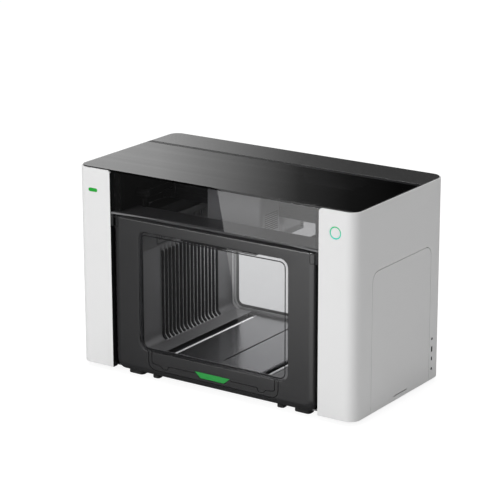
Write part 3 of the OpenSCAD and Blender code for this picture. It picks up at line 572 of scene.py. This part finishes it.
def make_window():
    """The pane, flush with the door's face and held by a flange behind it, with its printed black line."""
    wx0, wx1, wz0, wz1 = window_edges()
    y_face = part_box("door_frame")[0].y
    low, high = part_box("door_window")
    r, fit = 20 * MM, 0.5 * MM

    def ring(inset, y):
        return [(x, y, z) for x, z in round_rectangle(
            wx0 + inset, wx1 - inset, wz0 + inset, wz1 - inset, r - inset, r - inset)]

    rings = [ring(-8 * MM, high.y), ring(-8 * MM, low.y), ring(fit, low.y), ring(fit, y_face + 0.7 * MM),
             ring(fit + 0.3 * MM, y_face + 0.4 * MM)]
    verts, faces = lathe_rings(rings, closed=False)
    count = len(rings[0])
    faces += [tuple(range(count))[::-1], tuple(range(4 * count, 5 * count))]
    glass = new_piece("window_pane", verts, faces, WINDOW, "door")
    fix_normals(glass.data)
    mark_sharp(glass.data)
    flat_shading(glass)
    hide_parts("door_window")

    inset, band = 5.6 * MM, 2.4 * MM
    y_back, y_front = y_face + 0.45 * MM, y_face + 0.15 * MM
    rings = [ring(inset, y_back), ring(inset, y_front), ring(inset + band, y_front), ring(inset + band, y_back)]
    verts, faces = lathe_rings(rings)
    line = new_piece("window_band", verts, faces, GLOSS_BLACK, "door")
    fix_normals(line.data)
    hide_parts("door_seal")


# ---------------------------------------------------------------- chamber


def smooth_step(t):
    t = np.clip(t, 0, 1)
    return t * t * (3 - 2 * t)


def make_chamber_wall(side):
    """One grooved wall, whose grooves run down and round into the floor, with painted shade in the grooves and
    a painted highlight on the ridges.
    """
    low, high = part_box("chamber_walls")
    floor_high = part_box("work_plate")[1]
    z_floor = floor_high.z
    inner_x, skin = high.x - 4 * MM, 3.2 * MM
    fillet = 16 * MM
    strip_x = floor_high.x + 0.4 * MM
    wall_top = high.z
    path = [(inner_x, wall_top - (wall_top - z_floor - fillet) * t) for t in np.linspace(0, 1, 34)]
    path += arc(inner_x - fillet, z_floor + fillet, fillet, 0, -90, 14)[1:]
    path += [(inner_x - fillet - (inner_x - fillet - strip_x) * t, z_floor) for t in np.linspace(0, 1, 12)[1:]]
    path = np.array(path)
    run = np.concatenate([[0], np.cumsum(np.linalg.norm(np.diff(path, axis=0), axis=1))])
    tangent = np.gradient(path, axis=0)
    tangent /= np.linalg.norm(tangent, axis=1)[:, None]
    into = np.stack([-tangent[:, 1], tangent[:, 0]], axis=1)

    pitch, count, groove = 14 * MM, 16, 8.8 * MM
    first, plain_end, ridge_height = low.y + 69 * MM, 20 * MM, 0.3
    columns = [low.y, low.y + plain_end, first - pitch * 0.7]
    depth_at = [0.0] * len(columns)
    shape = [(-0.5, 0.0), (-0.46, 0.4), (-0.36, 1.0), (0.36, 1.0), (0.46, 0.4), (0.5, 0.0)]
    for i in range(count):
        centre = first + i * pitch
        for share, depth in shape:
            columns.append(centre + share * groove)
            depth_at.append(depth)
        if i < count - 1:
            columns.append(centre + pitch / 2)
            depth_at.append(-ridge_height)
    # Painted shade: the groove bottoms take the matte black. Painted highlight: the ridges between the grooves
    # take a lighter grey.
    painted_shade_run = np.array(depth_at) >= 0.3
    painted_highlight_run = np.array(depth_at) < -0.1
    columns += [first + count * pitch, high.y - plain_end, high.y]
    depth_at += [0.0] * 3
    columns, depth_at = np.array(columns), np.array(depth_at)
    start, end = 10 * MM, (wall_top - z_floor - fillet) + fillet * 1.35
    mask = smooth_step((run - start) / (4 * MM)) * smooth_step((end - run) / (5 * MM))
    full_depth = 3.0 * MM
    depth = np.outer(mask, depth_at) * full_depth
    verts = np.zeros((len(path), len(columns), 3))
    verts[:, :, 0] = path[:, 0][:, None] - into[:, 0][:, None] * depth
    verts[:, :, 2] = path[:, 1][:, None] - into[:, 1][:, None] * depth
    verts[:, :, 1] = columns[None, :]
    verts[:, :, 0] *= side
    rows, cols = verts.shape[:2]
    faces, painted_light_picks = [], []
    for r in range(rows - 1):
        for c in range(cols - 1):
            a = r * cols + c
            quad = (a, a + 1, a + cols + 1, a + cols)
            faces.append(quad if side > 0 else quad[::-1])
            # Pick 1 is the painted shade in a groove, pick 2 the painted highlight on a ridge.
            tone = 0
            if c + 1 < len(painted_shade_run) and min(mask[r], mask[r + 1]) > 0.3:
                if painted_shade_run[c] and painted_shade_run[c + 1]:
                    tone = 1
                elif painted_highlight_run[c] or painted_highlight_run[c + 1]:
                    tone = 2
            painted_light_picks.append(tone)
    name = "grooved_wall_right" if side > 0 else "grooved_wall_left"
    wall = new_piece(name, verts.reshape(-1, 3), faces, CHAMBER, "cabinet")
    wall.data.materials.append(MATTE_BLACK)
    wall.data.materials.append(RIDGE_PAINTED_HIGHLIGHT)
    wall.data.polygons.foreach_set("material_index", painted_light_picks)
    thick = wall.modifiers.new("skin", "SOLIDIFY")
    thick.thickness = 0.7 * MM
    thick.offset = -1.0
    apply_modifiers(wall)
    mark_sharp(wall.data, 50)
    return wall


def make_band_outline(y_front):
    """The black moulding round the front of each slotted band."""
    low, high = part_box("vent_bands")
    face = high.x - 3 * MM
    length, margin = 62 * MM, 3 * MM
    y0, y1, z0, z1 = y_front, y_front + length, low.z + margin, high.z - margin
    width, proud = 3.2 * MM, 0.6 * MM
    for name, side in (("band_outline_left", -1), ("band_outline_right", 1)):
        rings = [[(side * x, y, z) for y, z in round_rectangle(
            y0 + inset, y1 - inset, z0 + inset, z1 - inset, 3 * MM, 3 * MM, 3)]
            for x, inset in ((face, 0), (face - proud, 0), (face - proud, width), (face, width))]
        verts, faces = lathe_rings(rings)
        outline = new_piece(name, verts, faces, BLACK, "cabinet")
        fix_normals(outline.data)


def make_chamber():
    left_wall = make_chamber_wall(-1)
    make_chamber_wall(1)
    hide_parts("chamber_walls")
    eased("work_plate", PLATE, 0.5)
    eased("front_sill_grille", CHAMBER, 0.3)
    bands = eased("vent_bands", BAND, 0.2, 1)
    plain_front = 51 * MM
    band_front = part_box("front_bulkhead")[1].y + plain_front
    repaint(bands, CHAMBER, lambda centre, normal: centre.y < band_front or abs(normal.x) < 0.5)
    make_band_outline(band_front)
    eased("front_bulkhead", FRAME_DARK, 0.3)
    finish_node("floor_tray", FRAME_DARK)
    finish_node("guide_rods", ROD)
    mark_sharp(frame["nodes"]["guide_rods"].data)
    eased("light_bar", BLACK, 1.5, 3)
    eased("deck_beam", DECK, 0.8, 3)


# ---------------------------------------------------------------- the rest of the object


def repaint(piece, material, chosen):
    """Gives a second material to the faces that chosen(centre, normal) picks."""
    piece.data.materials.append(material)
    for face in piece.data.polygons:
        if chosen(face.center, face.normal):
            face.material_index = 1


def make_case():
    for node in ("left_side_cover", "right_side_cover"):
        shell = eased(node, WHITE, 0.25, 2, 50, rim=1.1)
        low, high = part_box(node)
        # Painted shade: the covers' inner faces along the doorway, beside the door, take the black.
        doorway = min(abs(low.x), abs(high.x)) + 0.5 * MM
        repaint(shell, BLACK, lambda centre, normal: abs(centre.x) < doorway and abs(normal.x) > 0.5)
    cover = eased("filter_cover", WHITE, 0.25, 2, 50)
    low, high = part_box("filter_cover")
    middle, seam = (low.y + high.y) / 2, 0.7 * MM
    for vert in cover.data.vertices:
        off = vert.co.y - middle
        vert.co.y -= math.copysign(min(seam, abs(off)), off)
        vert.co.z -= seam * max(0.0, (vert.co.z - low.z) / (high.z - low.z))
    eased("rear_panel", WHITE, 0.35, 2, 40)
    eased("rear_window", REAR_GLASS, 0.3, 1)
    eased("rear_window_trim", BLACK, 0.4)
    eased("rear_top_strip", WEAVE, 0.5)
    eased("feet", RUBBER, 1.2, 3)
    finish_node("base_pan", STEEL)
    finish_node("side_frames", MATTE_BLACK)
    finish_node("rail_beams", MATTE_BLACK)
    finish_node("rear_top_frame", STEEL)
    eased("door_hinges", BLACK, 0.8)
    eased("lid_hinges", BLACK, 0.2)
    eased("port_block", BLACK, 0.5)
    eased("filter_cartridge", PLEATS, 0.8)
    finish_node("power_supply", STEEL)
    finish_node("control_board", BOARD)
    eased("power_inlet", BLACK, 0.5)
    eased("exhaust_collar", BLACK, 0.6)
    eased("fan_frame", BLACK, 0.6)
    eased("fan_rotor", BLACK, 0.3)
    eased("rocker_switch", BLACK, 0.8)


def make_side_details():
    """Dark inserts in the four side sockets, and a black strip behind the filter cover's seam that paints the
    shade in the gap.
    """
    x_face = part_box("right_side_cover")[1].x
    low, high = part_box("port_block")
    y_mid = (low.y + high.y) / 2
    z_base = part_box("right_side_cover")[0].z
    sockets = [("jack_upper", 6.3, 6.3, 94.4, 3.1), ("socket_square", 5.9, 12.9, 70.5, 1.1),
               ("socket_oval", 5.1, 9.1, 48.6, 2.3), ("jack_lower", 6.7, 6.7, 25, 3.3)]
    for name, width, height, z, r in sockets:
        outline = round_rectangle(
            y_mid - width / 2 * MM, y_mid + width / 2 * MM,
            z_base + (z - height / 2) * MM, z_base + (z + height / 2) * MM, r * MM, r * MM, 6)
        tongue = scaled_ring(outline, 0.4)
        rings = [[(x_face - x * MM, y, h) for y, h in ring] for x, ring in (
            (2.9, outline), (0.4, outline), (0.4, scaled_ring(outline, 0.82)),
            (2.2, scaled_ring(outline, 0.80)), (2.2, tongue), (1.0, tongue))]
        verts, faces = lathe_rings(rings, closed=False)
        count = len(outline)
        faces += [tuple(range(count))[::-1], tuple(range(5 * count, 6 * count))]
        insert = new_piece(name, verts, faces, MATTE_BLACK, "cabinet")
        mark_sharp(insert.data)

    # A black strip behind the filter cover's seam: painted shade in the gap.
    low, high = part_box("filter_cover")
    r, reach = 23 * MM, 4 * MM
    outer = round_rectangle(low.y - reach, high.y + reach, low.z + 2 * MM, high.z + reach, 1 * MM, r + reach)
    inner = round_rectangle(low.y + reach, high.y - reach, low.z + 3 * MM, high.z - reach, 1 * MM, r - reach)
    x_back, x_front = low.x - 0.9 * MM, low.x - 0.15 * MM
    rings = [[(x, y, z) for y, z in ring] for x, ring in (
        (x_back, outer), (x_front, outer), (x_front, inner), (x_back, inner))]
    verts, faces = lathe_rings(rings)
    seam_shade = new_piece("filter_seam_painted_shade", verts, faces, BLACK, "cabinet")
    mark_sharp(seam_shade.data)


def make_lid():
    eased("lid_glass", LID, 0.5)
    eased("lid_front_glass", FRONT_GLASS, 0.3)
    eased("lid_hinge_rail", BLACK, 0.3)


def make_gantry():
    for node in ("x_beam_front", "x_beam_rear"):
        eased(node, BEAM, 0.5)
    eased("gantry_ends", STEEL, 0.5)
    eased("x_rail", CHROME, 0.3)
    finish_node("x_belt", RUBBER)
    finish_node("y_belts", RUBBER)
    eased("x_motor", BLACK, 0.6)
    eased("y_motor", BLACK, 0.8)
    for node in ("x_drive_pulley", "x_idler_pulley", "y_drive_shaft", "y_rails"):
        eased(node, CHROME, 0.2)
    for node, width in (("head_front_housing", 1.2), ("head_rear_housing", 1.0)):
        housing = eased(node, SILVER, width, 3)
        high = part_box(node)[1]
        # Painted shade: the faces 0.25 to 1.8 mm inside each housing's right side, in the grooves there, take
        # the matte black.
        repaint(housing, MATTE_BLACK, lambda centre, normal: (
            high.x - 1.8 * MM < centre.x < high.x - 0.25 * MM
            and high.y - 64 * MM < centre.y < high.y - 4 * MM and centre.z < high.z - 20 * MM))
    eased("head_neck", SILVER, 0.8)
    eased("x_carriage", STEEL, 0.4)
    eased("scan_lens", BLACK, 0.8)


def make_controls():
    low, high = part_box("button_ring_light")
    middle = (low + high) / 2
    radius = 13.5 * MM
    teal, green = (0.01, 0.62, 0.50), (0.01, 0.50, 0.16)
    ring = glowing("ring_glow", teal, green, middle.z - radius, middle.z + radius, 0.22)
    eased("button_ring_light", ring, 0.2, 1)
    eased("power_button", WHITE, 0.6, 3)
    eased("status_badge", BADGE, 0.3)
    eased("latch_tab", GREEN, 0.5)


# ---------------------------------------------------------------- stage, lights and camera


def stage_material(name, shade, lift, seen_shade):
    """A plain pale surface that the camera sees as almost even white, with only a faint shadow."""
    material, tree, end = new_material(name)
    camera_ray = add(tree, "ShaderNodeLightPath").outputs["Is Camera Ray"]
    diffuse = add(tree, "ShaderNodeBsdfDiffuse", {"Color": (shade, shade, shade, 1)})
    glow = add(tree, "ShaderNodeEmission", {"Color": (1, 1, 1, 1), "Strength": lift})
    faint = add(tree, "ShaderNodeBsdfDiffuse", {"Color": (seen_shade, seen_shade, seen_shade, 1)})
    both = add(tree, "ShaderNodeAddShader", {0: faint.outputs[0], 1: glow.outputs[0]})
    shown = add(tree, "ShaderNodeMixShader", {0: camera_ray, 1: diffuse.outputs[0], 2: both.outputs[0]})
    tree.links.new(shown.outputs[0], end.inputs[0])
    return material


def card(name, corners, strength, fade=None):
    """A glowing card that only shows in glossy surfaces. fade is (axis, [(place, level), ...])."""
    mesh = bpy.data.meshes.new(name)
    mesh.from_pydata(corners, [], [(0, 1, 2, 3)])
    sheet = bpy.data.objects.new(name, mesh)
    bpy.context.scene.collection.objects.link(sheet)
    material, tree, end = new_material(name + "_glow")
    light = add(tree, "ShaderNodeEmission", {"Color": (1, 1, 1, 1), "Strength": strength})
    if fade:
        axis, stops = fade
        low, high = stops[0][0], stops[-1][0]
        top = max(level for _, level in stops)
        place = add(tree, "ShaderNodeSeparateXYZ", {
            0: add(tree, "ShaderNodeTexCoord").outputs["Object"]}).outputs[axis]
        share = add(tree, "ShaderNodeMapRange", {0: place, 1: low, 2: high}).outputs[0]
        level = ramp(tree, share, *[((at - low) / (high - low), value / top) for at, value in stops])
        tree.links.new(math_node(tree, "MULTIPLY", level, top * strength), light.inputs["Strength"])
    tree.links.new(light.outputs[0], end.inputs[0])
    mesh.materials.append(material)
    for kind in ("camera", "diffuse", "transmission", "volume_scatter", "shadow"):
        setattr(sheet, "visible_" + kind, False)


def area_light(name, place, target, size, power):
    lamp = bpy.data.lights.new(name, "AREA")
    lamp.shape = "RECTANGLE"
    lamp.size, lamp.size_y = size
    lamp.energy = power
    holder = bpy.data.objects.new(name, lamp)
    bpy.context.scene.collection.objects.link(holder)
    holder.location = place
    holder.rotation_euler = (Vector(target) - Vector(place)).to_track_quat("-Z", "Y").to_euler()
    holder.visible_camera = False
    holder.visible_glossy = name == "key"


def make_stage():
    half = 30.0
    mesh = bpy.data.meshes.new("floor")
    corners = [(-half, -half, 0), (half, -half, 0), (half, half, 0), (-half, half, 0)]
    mesh.from_pydata(corners, [], [(0, 1, 2, 3)])
    floor = bpy.data.objects.new("floor", mesh)
    bpy.context.scene.collection.objects.link(floor)
    mesh.materials.append(stage_material("pale_floor", 0.85, 0.90, 0.20))
    floor.visible_glossy = False

    world = bpy.data.worlds.new("studio")
    bpy.context.scene.world = world
    world.use_nodes = True
    tree = world.node_tree
    tree.nodes.clear()
    path = add(tree, "ShaderNodeLightPath").outputs
    ambient, mirrored = 0.38, 0.05
    level = math_node(tree, "MAXIMUM", path["Is Camera Ray"], ambient)
    glossy = add(tree, "ShaderNodeMix", {0: path["Is Glossy Ray"], 2: level, 3: mirrored})
    sky = add(tree, "ShaderNodeBackground", {"Color": (1, 1, 1, 1), "Strength": glossy.outputs[0]})
    tree.links.new(sky.outputs[0], add(tree, "ShaderNodeOutputWorld").inputs[0])

    area_light("key", (-2.6, -7.0, 3.6), (0, 0, 0.2), (3.2, 3.0), 305)
    area_light("overhead", (0, 0.6, 7), (0, 0.5, 0), (4, 4), 200)
    area_light("chamber_light", (0, 0.10, 0.318), (0, 0.11, 0), (0.34, 0.12), 1.1)
    card("back_card", [(-5, 3, 0.5), (1, 3, 0.5), (1, 3, 3), (-5, 3, 3)], 1.0, (0, [
        (-2.75, 1.15), (-2.50, 1.0), (-2.29, 0.68), (-2.05, 0.36), (-1.82, 0.10), (-1.59, 0.03),
        (-1.37, 0.01)]))
    card("front_card", [(-1.911, -3.2, -1.5), (2, -3.2, -1.5), (2, -3.2, 0), (-2.197, -3.2, 0)], 1.0, (2, [
        (-1.20, 0.0), (-0.80, 1.25), (-0.50, 1.6)]))
    card("chamber_card", [
        (-0.15, -0.12, 0.338), (0.15, -0.12, 0.338), (0.15, 0.16, 0.338), (-0.15, 0.16, 0.338)], 1.5)
    card("rear_card", [(-0.32, 0.30, 0.0), (0.32, 0.30, 0.0), (0.32, 0.30, 0.36), (-0.32, 0.30, 0.36)], 1.0)


def make_camera():
    """A long lens from the front right, a little above the top."""
    azimuth, elevation, roll = math.radians(34.072), math.radians(16.65), math.radians(-0.1)
    target, distance = Vector((0.0589, -0.1236, 0.3233)), 4.6
    back = Vector((math.sin(azimuth) * math.cos(elevation), -math.cos(azimuth) * math.cos(elevation),
                   math.sin(elevation)))
    lens = bpy.data.cameras.new("view")
    lens.sensor_width = 36.0
    lens.lens = 154.89
    lens.clip_end = 100
    lens.dof.use_dof = False
    camera = bpy.data.objects.new("view", lens)
    bpy.context.scene.collection.objects.link(camera)
    turn = back.to_track_quat("Z", "Y").to_matrix().to_4x4() @ Matrix.Rotation(roll, 4, "Z")
    camera.matrix_world = Matrix.Translation(target + back * distance) @ turn
    bpy.context.scene.camera = camera


make_camera()
make_stage()
make_case()
make_door()
make_window()
make_chamber()
make_side_details()
make_lid()
make_gantry()
make_controls()

bpy.context.scene.view_settings.view_transform = "Standard"
